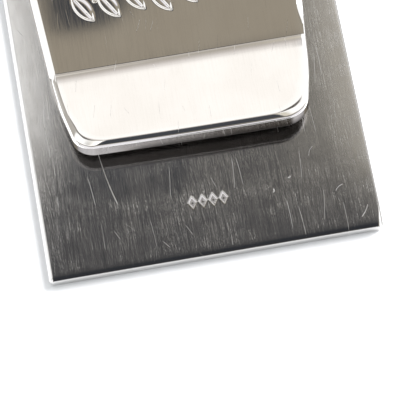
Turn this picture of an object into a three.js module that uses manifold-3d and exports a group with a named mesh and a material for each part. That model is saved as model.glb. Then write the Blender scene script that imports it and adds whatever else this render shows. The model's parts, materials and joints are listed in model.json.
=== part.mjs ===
// Money clip with a sprung hinge: a tapered tongue presses folded notes against a flat base plate.
//
// Millimetres, +Z up. X runs across the clip and Y along it, from the open end (-Y) to the hinge end
// (+Y). The origin is the middle of the base plate's underside, and the clip is shown shut. The pin
// lies along X; the tongue, its barrel and the moving bush turn on it, and everything else is fixed.

import * as THREE from 'three';
import { mergeVertices } from 'three/addons/utils/BufferGeometryUtils.js';
import Module from 'manifold-3d';

const wasm = await Module();
wasm.setup();

// ---- Driving dimensions ------------------------------------------------------------------------

// Base plate
const plateWidth = 25;
const plateLength = 50;
const plateThickness = 1.2;
const plateCornerRadius = 0.4;
const plateBevel = 0.3;

// Tongue, from the lip at the open end to the curl over the hinge
const sheetThickness = 1.2;
const bendFromOpenEnd = 15.2;
const bendInnerRadius = 2;
const bendGap = 0.05;
const lipAngle = THREE.MathUtils.degToRad(14.5);
const lipLength = 6.35;
const lipNarrowing = 0.7;
const lipLeftSetback = 0.26;
const leftLipCornerRadius = 1.7;
const rightLipCornerRadius = 2.1;
const tongueWidthAtBend = 19.44;
const tongueWidthAtHinge = 24.4;
const tongueDriftAtBend = -0.25;
const curlBelowPin = THREE.MathUtils.degToRad(15);
const curlInset = 0.1;

// Hinge
const barrelRadius = 2.2;
const barrelBoreRadius = 1.7;
const barrelLength = 15;
const barrelToPlateGap = 0.1;
const barrelToCurlGap = 0.1;
const knuckleRadius = 2.1;
const knuckleFootHalfWidth = 1.5;
const knuckleLength = 4.6;
const knuckleEndGap = 0.1;
const pinRadius = 0.75;
const pinEndChamfer = 0.15;
const pinEndGap = 0.05;
const pressGap = 0.01;
const runningGap = 0.04;

// Pin caps, each let into a shallow seat in a knuckle's outer face
const capRadius = 1.45;
const capSeatDepth = 0.5;
const capDomeHeight = 0.25;
const capSideGap = 0.05;

// Return spring and the two slotted bushes that hold its legs
const wireRadius = 0.35;
const coilRadius = 1.25;
const coilTurns = 8.5;
const coilPitch = 0.8;
const legBendRadius = 0.6;
const legLength = 2.6;
const bushLength = 2.2;
const bushInset = 0.3;
const slotHalfWidth = 0.42;
const slotFloorRadius = 0.86;

// Facets
const roundSides = 48;
const edgeSteps = 6;
const wireSides = 8;
const wireStepsPerTurn = 14;
const lipCornerSteps = 8;
const stepsPerRightAngle = 14;
const panelSteps = 6;

// ---- Worked-out places -------------------------------------------------------------------------

const halfSheet = sheetThickness / 2;
const bendRadius = bendInnerRadius + halfSheet;
const bendCentre = new THREE.Vector2(
  bendFromOpenEnd - plateLength / 2,
  plateThickness + bendGap + sheetThickness + bendInnerRadius,
);
const curlRadius = barrelRadius + barrelToCurlGap + halfSheet;
const pinAxis = new THREE.Vector2(
  plateLength / 2 - curlInset - curlRadius - halfSheet,
  plateThickness + barrelToPlateGap + barrelRadius,
);
const knuckleInnerFace = barrelLength / 2 + knuckleEndGap;
const knuckleOuterFace = knuckleInnerFace + knuckleLength;
const capSeatFace = knuckleOuterFace - capSeatDepth;

// The main panel is the straight line that touches the bend from below and the curl from above.
const bendToPin = pinAxis.clone().sub(bendCentre);
const bothRadii = bendRadius + curlRadius;
const panelAngle = Math.atan2(bendToPin.y, bendToPin.x) + Math.asin(bothRadii / bendToPin.length());
const panelLength = Math.sqrt(bendToPin.lengthSq() - bothRadii ** 2);

// ---- Paths made of straight and round stretches ------------------------------------------------

const straight = (length) => ({ length, turn: 0 });
const arc = (radius, turn) => ({ length: radius * Math.abs(turn), turn });
const totalLength = (path) => path.reduce((sum, stretch) => sum + stretch.length, 0);

// The point and heading after walking a distance along a path from a start.
function walk(path, start, startHeading, distance) {
  const point = start.clone();
  let heading = startHeading;
  let left = distance;
  for (const stretch of path) {
    const step = Math.min(left, stretch.length);
    const turned = stretch.turn * step / stretch.length;
    const chord = turned === 0 ? step : 2 * Math.sin(turned / 2) * stretch.length / stretch.turn;
    const chordHeading = heading + turned / 2;
    point.x += chord * Math.cos(chordHeading);
    point.y += chord * Math.sin(chordHeading);
    heading += turned;
    left -= step;
  }
  return { point, heading };
}

// ---- Solids ------------------------------------------------------------------------------------

function toSolid(geometry) {
  const bare = geometry.clone();
  bare.deleteAttribute('normal');
  bare.deleteAttribute('uv');
  const merged = mergeVertices(bare, 1e-5);
  return new wasm.Manifold(new wasm.Mesh({
    numProp: 3,
    vertProperties: new Float32Array(merged.getAttribute('position').array),
    triVerts: new Uint32Array(merged.getIndex().array),
  }));
}

function toGeometry(solid) {
  const mesh = solid.getMesh();
  const geometry = new THREE.BufferGeometry();
  geometry.setAttribute('position', new THREE.BufferAttribute(new Float32Array(mesh.vertProperties), 3));
  geometry.setIndex(new THREE.BufferAttribute(new Uint32Array(mesh.triVerts), 1));
  geometry.computeVertexNormals();
  return geometry;
}

function cut(geometry, ...tools) {
  const solid = tools.reduce((rest, tool) => rest.subtract(toSolid(tool)), toSolid(geometry));
  return toGeometry(solid);
}

// A closed profile of [radius, place along X] pairs turned round the X axis.
function turned(profile) {
  const points = profile.map(([radius, along]) => new THREE.Vector2(radius, along));
  const geometry = new THREE.LatheGeometry(points, roundSides);
  return geometry.rotateZ(-Math.PI / 2);
}

function disc(radius, from, to) {
  return turned([[0, from], [radius, from], [radius, to], [0, to]]);
}

function ring(outer, inner, from, to) {
  return turned([[inner, from], [outer, from], [outer, to], [inner, to], [inner, from]]);
}

// ---- Base plate --------------------------------------------------------------------------------

function roundedRectangle(halfWidth, halfLength, radius) {
  const shape = new THREE.Shape();
  const corners = [[1, -1, -90], [1, 1, 0], [-1, 1, 90], [-1, -1, 180]];
  for (const [sideX, sideY, degrees] of corners) {
    const from = THREE.MathUtils.degToRad(degrees);
    const x = sideX * (halfWidth - radius);
    const y = sideY * (halfLength - radius);
    shape.absarc(x, y, radius, from, from + Math.PI / 2, false);
  }
  shape.closePath();
  return shape;
}

function basePlate() {
  const outline = roundedRectangle(plateWidth / 2, plateLength / 2, plateCornerRadius);
  const geometry = new THREE.ExtrudeGeometry(outline, {
    depth: plateThickness - 2 * plateBevel,
    curveSegments: 4,
    bevelThickness: plateBevel,
    bevelSize: plateBevel,
    bevelOffset: -plateBevel,
    bevelSegments: 3,
  });
  return geometry.translate(0, 0, plateBevel);
}

// ---- Tongue ------------------------------------------------------------------------------------

// The tongue's side profile in the Y-Z plane, walked from the lip's tip to the end of the curl.
const tonguePath = [
  straight(lipLength),
  arc(bendRadius, lipAngle + panelAngle),
  straight(panelLength),
  arc(curlRadius, -(panelAngle + Math.PI / 2 + curlBelowPin)),
];
const tongueLength = totalLength(tonguePath);
const lipDirection = new THREE.Vector2(Math.cos(lipAngle), -Math.sin(lipAngle));
const bendStart = bendCentre.clone().add(
  new THREE.Vector2(-Math.sin(lipAngle), -Math.cos(lipAngle)).multiplyScalar(bendRadius),
);
const tongueTip = bendStart.clone().addScaledVector(lipDirection, -lipLength);

// Distances along the tongue of the cross-sections, with more of them on the bend and the curl.
function tongueStations() {
  const stations = [];
  let start = 0;
  for (const stretch of tonguePath) {
    const turns = Math.abs(stretch.turn) / (Math.PI / 2);
    const steps = stretch.turn === 0 ? panelSteps : Math.ceil(turns * stepsPerRightAngle);
    for (let i = 0; i < steps; i += 1) {
      stations.push(start + stretch.length * i / steps);
    }
    start += stretch.length;
  }
  const firstStraight = Math.max(leftLipCornerRadius, rightLipCornerRadius) + halfSheet;
  const lastStraight = tongueLength - halfSheet;
  return stations.filter((distance) => distance > firstStraight && distance < lastStraight);
}

// The X of one side of the tongue, where side is -1 on the left and 1 on the right. The sides taper
// evenly from the hinge to the bend, and draw in a little more towards the lip's tip.
function tongueSide(side, distance) {
  const reach = Math.min((distance - lipLength) / panelLength, 1);
  const halfWidth = THREE.MathUtils.lerp(tongueWidthAtBend, tongueWidthAtHinge, reach) / 2;
  const narrowing = lipNarrowing * Math.max(1 - distance / lipLength, 0) ** 2;
  return tongueDriftAtBend * (1 - reach) + side * (halfWidth - narrowing);
}

// One side of the flat blank's outline, moved inwards: round lip corner, tapered side, curl end.
function blankSide(side, cornerRadius, stations, inset) {
  const points = [];
  const sideStep = tongueSide(side, cornerRadius + halfSheet) - tongueSide(side, cornerRadius);
  const lean = Math.atan(side * sideStep / halfSheet);
  const cornerEnd = cornerRadius * (1 - Math.sin(lean));
  const cornerX = tongueSide(side, cornerEnd) - side * cornerRadius * Math.cos(lean);
  const reach = cornerRadius - inset;
  for (let i = 0; i <= lipCornerSteps; i += 1) {
    const angle = (Math.PI / 2 - lean) * i / lipCornerSteps;
    points.push([cornerX + side * reach * Math.sin(angle), cornerRadius - reach * Math.cos(angle)]);
  }
  for (const distance of stations) {
    points.push([tongueSide(side, distance) - side * inset, distance]);
  }
  points.push([tongueSide(side, tongueLength) - side * inset, tongueLength - inset]);
  return points;
}

// The blank is formed over the side profile, and height is measured from the middle of the sheet.
// The lip's tip is cut slightly askew: it stands back on the left.
function formed([x, distance], height) {
  const setback = lipLeftSetback * (0.5 - x / tongueWidthAtBend);
  const askew = distance + setback * Math.max(1 - distance / lipLength, 0);
  const { point, heading } = walk(tonguePath, tongueTip, -lipAngle, askew);
  const y = point.x - height * Math.sin(heading);
  const z = point.y + height * Math.cos(heading);
  return [x, y, z];
}

// Rings of points run round the blank from its lower face, over the round edge, to its upper face.
function tongue() {
  const stations = tongueStations();
  const positions = [];
  let count = 0;
  for (let i = 0; i <= edgeSteps; i += 1) {
    const angle = -Math.PI / 2 + Math.PI * i / edgeSteps;
    const inset = halfSheet * (1 - Math.cos(angle));
    const right = blankSide(1, rightLipCornerRadius, stations, inset);
    const left = blankSide(-1, leftLipCornerRadius, stations, inset);
    const outline = [...right, ...left.reverse()];
    count = outline.length;
    outline.forEach((point) => positions.push(...formed(point, halfSheet * Math.sin(angle))));
  }
  const geometry = new THREE.BufferGeometry();
  geometry.setAttribute('position', new THREE.Float32BufferAttribute(positions, 3));
  const upperFaces = sheetFaces(count, edgeSteps, false);
  geometry.setIndex([...edgeFaces(count), ...sheetFaces(count, 0, true), ...upperFaces]);
  geometry.computeVertexNormals();
  return geometry;
}

function edgeFaces(count) {
  const faces = [];
  for (let i = 0; i < edgeSteps; i += 1) {
    for (let j = 0; j < count; j += 1) {
      const next = (j + 1) % count;
      const [a, b] = [i * count + j, i * count + next];
      faces.push(a, b, b + count, a, b + count, a + count);
    }
  }
  return faces;
}

function sheetFaces(count, ringIndex, facesDown) {
  const faces = [];
  const first = ringIndex * count;
  for (let j = 0; j < count / 2 - 1; j += 1) {
    const right = first + j;
    const left = first + count - 1 - j;
    const quad = [left, right, right + 1, left, right + 1, left - 1];
    faces.push(...(facesDown ? quad.reverse() : quad));
  }
  return faces;
}

// ---- Hinge pieces, modelled round the pin's axis -----------------------------------------------

// A round lug on a narrow foot, bored for the pin and sunk for the cap; outwards is +X.
function knuckle() {
  const footHeight = plateThickness - pinAxis.y;
  const footAngle = Math.asin(knuckleFootHalfWidth / knuckleRadius);
  const shape = new THREE.Shape();
  shape.moveTo(-knuckleFootHalfWidth, footHeight);
  shape.lineTo(knuckleFootHalfWidth, footHeight);
  shape.absarc(0, 0, knuckleRadius, footAngle - Math.PI / 2, 3 * Math.PI / 2 - footAngle, false);
  shape.closePath();
  const body = new THREE.ExtrudeGeometry(shape, {
    depth: knuckleLength,
    bevelEnabled: false,
    curveSegments: roundSides / 2,
  });
  const shapeToYZ = new THREE.Matrix4().makeBasis(
    new THREE.Vector3(0, 1, 0),
    new THREE.Vector3(0, 0, 1),
    new THREE.Vector3(1, 0, 0),
  );
  body.applyMatrix4(shapeToYZ).translate(knuckleInnerFace, 0, 0);
  const pinHole = disc(pinRadius + pressGap, knuckleInnerFace - 1, knuckleOuterFace + 1);
  const capSeat = disc(capRadius + capSideGap, capSeatFace, knuckleOuterFace + 1);
  return cut(body, pinHole, capSeat);
}

// A disc with a domed outer face; outwards is +X.
function pinCap() {
  const domeSteps = 8;
  const sphereRadius = (capRadius ** 2 + capDomeHeight ** 2) / (2 * capDomeHeight);
  const domeAngle = Math.asin(capRadius / sphereRadius);
  const profile = [[0, capSeatFace]];
  profile.push([capRadius, capSeatFace]);
  for (let i = domeSteps; i > 0; i -= 1) {
    const angle = domeAngle * i / domeSteps;
    const rise = sphereRadius * (Math.cos(angle) - Math.cos(domeAngle));
    profile.push([sphereRadius * Math.sin(angle), knuckleOuterFace + rise]);
  }
  profile.push([0, knuckleOuterFace + capDomeHeight]);
  return turned(profile);
}

function hingePin() {
  const end = capSeatFace - pinEndGap;
  return turned([
    [0, -end],
    [pinRadius - pinEndChamfer, -end],
    [pinRadius, pinEndChamfer - end],
    [pinRadius, end - pinEndChamfer],
    [pinRadius - pinEndChamfer, end],
    [0, end],
  ]);
}

function tongueBarrel() {
  return ring(barrelRadius, barrelBoreRadius, -barrelLength / 2, barrelLength / 2);
}

// A bush with one slot for a spring leg; its outer end is the end with the larger X.
function slottedBush(outer, inner, slotAngle) {
  const end = barrelLength / 2 - bushInset;
  const slotDepth = barrelRadius - slotFloorRadius;
  const slot = new THREE.BoxGeometry(3 * bushLength, slotDepth, 2 * slotHalfWidth);
  slot.translate(end - bushLength / 2, slotFloorRadius + slotDepth / 2, 0);
  slot.rotateX(slotAngle);
  return cut(ring(outer, inner, end - bushLength, end), slot);
}

// The spring's wire drawn on an unrolled cylinder: along X, round the coil, and along X again.
const helixHeading = Math.atan2(2 * Math.PI * coilRadius, coilPitch);
const coilLength = coilTurns * Math.hypot(2 * Math.PI * coilRadius, coilPitch);
const wirePath = [
  straight(legLength),
  arc(legBendRadius, helixHeading),
  straight(coilLength),
  arc(legBendRadius, -helixHeading),
  straight(legLength),
];
const wireLength = totalLength(wirePath);
const wireEnd = walk(wirePath, new THREE.Vector2(), 0, wireLength).point;
const fixedLegAngle = wireEnd.y / coilRadius;

class WireCurve extends THREE.Curve {
  getPoint(fraction, target = new THREE.Vector3()) {
    const { point } = walk(wirePath, new THREE.Vector2(-wireEnd.x / 2, 0), 0, fraction * wireLength);
    const angle = point.y / coilRadius;
    return target.set(point.x, coilRadius * Math.cos(angle), coilRadius * Math.sin(angle));
  }
}

function returnSpring() {
  const section = new THREE.Shape();
  section.absarc(0, 0, wireRadius, 0, 2 * Math.PI, false);
  const curve = new WireCurve();
  curve.arcLengthDivisions = 1000;
  return new THREE.ExtrudeGeometry(section, {
    steps: Math.round(wireLength / (2 * Math.PI * coilRadius) * wireStepsPerTurn),
    curveSegments: wireSides / 2,
    extrudePath: curve,
  });
}

// ---- Assembly ----------------------------------------------------------------------------------

const satinSteel = { color: 0xa9a8a5, roughness: 0.42, metalness: 1 };
const polishedSteel = { color: 0xcfccc6, roughness: 0.12, metalness: 1 };
const turnedSteel = { color: 0xb9b7b2, roughness: 0.28, metalness: 1 };
const springSteel = { color: 0x8d8c8a, roughness: 0.35, metalness: 1 };
const brass = { color: 0xc9a55a, roughness: 0.3, metalness: 1 };

function part(name, geometry, finish) {
  const mesh = new THREE.Mesh(geometry, new THREE.MeshStandardMaterial(finish));
  mesh.name = name;
  return mesh;
}

function halfTurned(mesh) {
  mesh.rotation.z = Math.PI;
  return mesh;
}

function hinge() {
  const group = new THREE.Group();
  group.position.set(0, pinAxis.x, pinAxis.y);
  group.add(
    halfTurned(part('left_knuckle', knuckle(), turnedSteel)),
    part('right_knuckle', knuckle(), turnedSteel),
    part('tongue_barrel', tongueBarrel(), turnedSteel),
    part('hinge_pin', hingePin(), turnedSteel),
    halfTurned(part('left_pin_cap', pinCap(), polishedSteel)),
    part('right_pin_cap', pinCap(), polishedSteel),
    part('return_spring', returnSpring(), springSteel),
    halfTurned(part('moving_bush', movingBush(), brass)),
    part('fixed_bush', fixedBush(), brass),
  );
  return group;
}

// Half-turned about Z with its hinge neighbours, so its slot is cut half a turn round as well.
function movingBush() {
  return slottedBush(barrelBoreRadius - pressGap, pinRadius + runningGap, Math.PI);
}

function fixedBush() {
  return slottedBush(barrelBoreRadius - runningGap, pinRadius + pressGap, fixedLegAngle);
}

const group = new THREE.Group();
group.add(
  part('base_plate', basePlate(), satinSteel),
  part('tongue', tongue(), polishedSteel),
  hinge(),
);

export default group;
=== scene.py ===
"""Looks of a money clip: a brushed base plate, a polished tongue and its sprung hinge.

Shapes are worked out in millimetres and turned into metres when a mesh is made. X runs across the
clip, Y along it from the open end (-Y) to the hinge end (+Y), and Z is up.
"""

import json
import math

import bmesh
import bpy
import numpy as np
from mathutils import Matrix, Vector


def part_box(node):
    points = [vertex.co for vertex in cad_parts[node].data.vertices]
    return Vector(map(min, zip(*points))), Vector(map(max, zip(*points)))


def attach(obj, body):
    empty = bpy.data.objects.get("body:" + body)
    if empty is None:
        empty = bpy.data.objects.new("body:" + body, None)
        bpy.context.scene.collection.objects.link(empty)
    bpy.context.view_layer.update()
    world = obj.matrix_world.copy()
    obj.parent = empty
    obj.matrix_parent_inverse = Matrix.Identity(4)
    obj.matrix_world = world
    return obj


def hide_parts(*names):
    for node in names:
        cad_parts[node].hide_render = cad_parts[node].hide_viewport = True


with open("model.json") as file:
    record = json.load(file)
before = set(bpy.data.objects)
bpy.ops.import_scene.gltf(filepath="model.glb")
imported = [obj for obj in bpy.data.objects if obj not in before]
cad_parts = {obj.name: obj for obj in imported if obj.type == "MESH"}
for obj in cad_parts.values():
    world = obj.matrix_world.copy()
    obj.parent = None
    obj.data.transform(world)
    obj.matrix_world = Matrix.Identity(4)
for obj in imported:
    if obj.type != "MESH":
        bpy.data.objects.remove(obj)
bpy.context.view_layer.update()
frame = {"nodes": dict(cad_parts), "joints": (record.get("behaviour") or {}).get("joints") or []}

MM = 0.001


def box_mm(node):
    low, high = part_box(node)
    return np.array(low) / MM, np.array(high) / MM


# ---- Driving sizes, in millimetres and degrees ---------------------------------------------------

# Base plate, from its CAD box
PLATE_LOW, PLATE_HIGH = box_mm("base_plate")
PLATE_TOP = PLATE_HIGH[2]
PLATE_CORNER = 0.3
LEFT_BEVEL = (0.26, 0.4)       # width at the open end and at the hinge end
RIGHT_BEVEL = (0.1, 0.14)
RIGHT_CORNER_WEAR = (0.3, 1.6)     # extra bevel at the open end, and how far it reaches
END_ROUNDING = 0.05
UNDER_ROUNDING = 0.12
SIDE_ROLL_REACH = 2.6          # the polished top falls away gently towards its edges
SIDE_ROLL_SLOPE = 0.05
END_ROLL_REACH = 0.45
END_ROLL_SLOPE = 0.06

# Punched mark near the open end
MARK_CENTRE = (0.03, -20.8)
MARK_PITCH = 0.78
MARK_COUNT = 4
MARK_HALF_WIDTH = 0.3
MARK_HALF_HEIGHT = 0.46
MARK_DEPTH = 0.045
MARK_RIM = 0.024

# Tongue: the same forming as the CAD part, whose faceted curl lies a hair below the true arc
TONGUE_TOP = box_mm("tongue")[1][2]
SHEET = 1.2
BEND_CENTRE = (-9.8, 4.45)
BEND_RADIUS = 2.6
CURL_RADIUS = 2.9
CURL_BELOW_PIN = math.radians(15)
LIP_ANGLE = math.radians(14.5)
LIP_LENGTH = 6.35
LIP_NARROWING = 0.7
LIP_LEFT_SETBACK = 0.26
LIP_BOW = 0.1
LEFT_LIP_CORNER = 1.7
RIGHT_LIP_CORNER = 2.1
WIDTH_AT_BEND = 19.44
WIDTH_AT_HINGE = 24.4
DRIFT_AT_BEND = -0.25
PIN_Y, PIN_Z = [value / MM for value in frame["joints"][0]["pos_m"][1:]]

# Edge of the sheet, as corners of a profile: inset from the outline, height, and rounding
UNDER_EDGE = [(0.0, -0.45, 0.06), (0.15, -0.6, 0.06), (0.9, -0.6, 0)]
TIP_EDGE = [
    (0.9, 0.6, 0), (0.5, 0.6, 0.06), (0.17, 0.5, 0.04), (0.04, 0.41, 0.05),
    (0.0, -0.45, 0.04), (0.15, -0.6, 0.05), (0.9, -0.6, 0),
]
LEFT_LIP_EDGE = [(0.9, 0.6, 0), (0.38, 0.6, 0.08), (0.14, 0.46, 0.06), (0.0, 0.2, 0.1)] + UNDER_EDGE
RIGHT_LIP_EDGE = [(0.9, 0.6, 0), (0.3, 0.6, 0.1), (0.1, 0.5, 0.06), (0.0, 0.3, 0.1)] + UNDER_EDGE
PANEL_EDGE = [(0.9, 0.6, 0), (0.52, 0.6, 0.03), (0.23, 0.32, 0.05), (0.0, 0.08, 0.05)] + UNDER_EDGE
# Distances from the tip at which each side of the sheet has each edge
LEFT_EDGES = [(6.7, LEFT_LIP_EDGE), (7.7, PANEL_EDGE)]
RIGHT_EDGES = [(8.1, RIGHT_LIP_EDGE), (9.8, PANEL_EDGE)]
FACE_CORNER_GROWTH = 2.6       # the polished face has rounder corners than the outline around it

# Crease between lip and panel: distance past it on the lip's side, and slope away from the lip
CREASE_SLOPES = [(-1.7, 0.0), (-1.3, 0.03), (-0.95, 0.055), (-0.75, 0.1), (-0.55, 0.15),
                 (-0.28, 0.23), (-0.2, 0.235), (-0.14, 0.21), (-0.03, 0.215), (0.0, 0.42)]
CREASE_EASE = 1.5              # the panel flattens by a hair over this distance above the crease
CREASE_EASE_SLOPE = (0.006, 0.026)     # by how much, at the left and at the right

# Engraved sprig on the panel
SPRIG_Y = -3.5
SPRIG_HALF_LENGTH = 7.7
SPRIG_HALF_HEIGHT = 3.1
LEAF_PAIRS = 7
LEAF_LENGTH = 2.7
LEAF_HALF_WIDTH = 0.6
LEAF_ANGLE = math.radians(57)
ENGRAVING_DEPTH = 0.14
ENGRAVING_WALL = 0.2

# Brushed streaks on the plate: heading, size, and the range of the noise over which they show
STREAKS = [
    (0, (0.05, 3.5, 1), 0.46, 0.7), (-2, (0.035, 2.0, 1), 0.46, 0.7),
    (2, (0.06, 5.0, 1), 0.48, 0.72), (-4, (0.04, 1.4, 1), 0.5, 0.75),
]
STREAK_STRENGTH = 0.62
STREAK_SCRATCHES = [(0, 4, 31.3), (-2, 6, 47.9), (2, 6, 63.1), (-1, 14, 79.7), (1, 22, 97.1)]

# Single scratches and nicks: start, end, bow at the middle, and width
PLATE_MARKS = [
    ((-7.42, -15.5), (-6.55, -20.1), 0.12, 0.07), ((9.5, -21.75), (10.15, -21.3), -0.1, 0.06),
    ((11.0, -24.05), (11.65, -23.1), 0.08, 0.07), ((4.9, -21.05), (4.98, -20.75), 0.05, 0.12),
    ((6.2, -20.1), (6.4, -19.98), 0.04, 0.16), ((8.5, -18.0), (8.05, -18.7), 0.1, 0.05),
]
PANEL_MARKS = [
    ((-3.05, -7.33), (-2.57, -6.32), 0.03, 0.05), ((-2.0, -7.42), (-1.63, -6.63), 0.02, 0.05),
]

# Worn places along the edges, and painted shade on the plate's right side and the lip's underside
PLATE_EDGE_WEAR_REACH = 0.18
PAINTED_DARK_LINE = (0.12, 0.05)      # distances from the plate's right side over which a dark line of painted reflection is laid on
LIP_EDGE_WEAR = 0.6
LIP_PAINTED_SHADE_DEPTH = 1.6
LIP_PAINTED_SHADE_ENDS = (8.8, 7.8)     # X over which the painted shade on the lip's underside stops on the right

# Colour that the metal sees, by degrees from straight up towards the hinge end
SKY = [
    (-88, (0.36, 0.355, 0.37)), (-72, (0.66, 0.655, 0.68)), (-50, (0.92, 0.91, 0.95)),
    (-30, (0.84, 0.83, 0.88)), (-12, (0.62, 0.61, 0.64)), (-6, (0.34, 0.31, 0.265)),
    (3, (0.302, 0.272, 0.222)), (7, (0.3, 0.27, 0.222)), (14, (0.26, 0.24, 0.21)),
    (19, (0.4, 0.37, 0.32)), (28, (0.4, 0.375, 0.335)), (36, (0.54, 0.51, 0.49)),
    (42, (0.77, 0.745, 0.735)), (46, (1.02, 1.005, 0.99)), (58, (1.02, 1.005, 0.99)),
    (72, (0.58, 0.57, 0.56)), (86, (0.36, 0.35, 0.34)),
]

# Camera
CAMERA_PLACE = Vector((-10.14, -65.82, 149.69))
CAMERA_AIM = Vector((-0.08, -21.4, 1.2))
CAMERA_ROLL = math.radians(10.715)
CAMERA_LENS = 181.7


# ---- Mesh helpers ----------------------------------------------------------------------------------

def smoothstep(low, high, value):
    share = np.clip((value - low) / (high - low), 0, 1)
    return share * share * (3 - 2 * share)


def spread(*stretches):
    """Increasing values: each stretch is (from, to, steps), and stretches join end to end."""
    parts = [np.linspace(start, end, steps, endpoint=False) for start, end, steps in stretches]
    return np.concatenate(parts + [[stretches[-1][1]]])


def grid_faces(rows, columns):
    first = (np.arange(rows - 1)[:, None] * columns + np.arange(columns - 1)[None, :]).ravel()
    return np.stack([first, first + 1, first + columns + 1, first + columns], axis=1).tolist()


def grid_border(rows, columns):
    """Indices once round a grid, starting along its first row."""
    index = np.arange(rows * columns).reshape(rows, columns)
    return np.concatenate([index[0, :-1], index[:-1, -1], index[-1, :0:-1], index[:0:-1, 0]])


def ring_faces(first_ring, second_ring):
    """Quads between two closed rings of point indices."""
    a, b = np.asarray(first_ring), np.asarray(second_ring)
    return np.stack([a, np.roll(a, -1), np.roll(b, -1), b], axis=1).tolist()


def add_ring(faces, previous, count):
    """Joins a new ring of points, numbered from count, to the ring before it."""
    ring = np.arange(count, count + len(previous))
    faces += ring_faces(previous, ring)
    return ring, count + len(ring)


def rounded_profile(corners, steps=4):
    """Points along a profile through (across, up, rounding) corners, with each inner corner rounded.

    A point just clear of each rounding keeps the flats beside it looking flat.
    """
    points = [corners[0][:2]]
    for before, corner, after in zip(corners, corners[1:], corners[2:]):
        place = np.array(corner[:2])
        back = np.array(before[:2]) - place
        ahead = np.array(after[:2]) - place
        back = back / np.linalg.norm(back) * corner[2]
        ahead = ahead / np.linalg.norm(ahead) * corner[2]
        points.append(tuple(place + 1.1 * back))
        for share in np.linspace(0, 1, steps):
            points.append(tuple(place + (1 - share) ** 2 * back + share ** 2 * ahead))
        points.append(tuple(place + 1.1 * ahead))
    points.append(corners[-1][:2])
    return np.array(points)


def make_piece(name, points, faces, body, material, grain, wear_and_shade=None):
    """A smooth closed mesh in metres.

    For each point, grain holds its place across and along the grain, and wear_and_shade is above 0 where
    the metal is rubbed bright and below 0 where dark painted shade is laid on.
    """
    mesh = bpy.data.meshes.new(name)
    mesh.from_pydata((np.asarray(points) * MM).tolist(), [], faces)
    shell = bmesh.new()
    shell.from_mesh(mesh)
    bmesh.ops.recalc_face_normals(shell, faces=shell.faces)
    shell.to_mesh(mesh)
    shell.free()
    mesh.shade_smooth()
    mesh.set_sharp_from_angle(angle=math.radians(50))
    corner_points = np.zeros(len(mesh.loops), dtype=np.int64)
    mesh.loops.foreach_get("vertex_index", corner_points)
    layer = mesh.uv_layers.new(name="grain")
    layer.data.foreach_set("uv", (np.asarray(grain) * MM)[corner_points].ravel())
    attribute = mesh.attributes.new("wear_and_shade", "FLOAT", "POINT")
    attribute.data.foreach_set("value", np.zeros(len(points)) if wear_and_shade is None else wear_and_shade)
    mesh.materials.append(material)
    piece = bpy.data.objects.new(name, mesh)
    bpy.context.scene.collection.objects.link(piece)
    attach(piece, body)
    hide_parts(name.removesuffix("_visual"))
    return piece


# ---- Shader helpers --------------------------------------------------------------------------------

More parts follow.
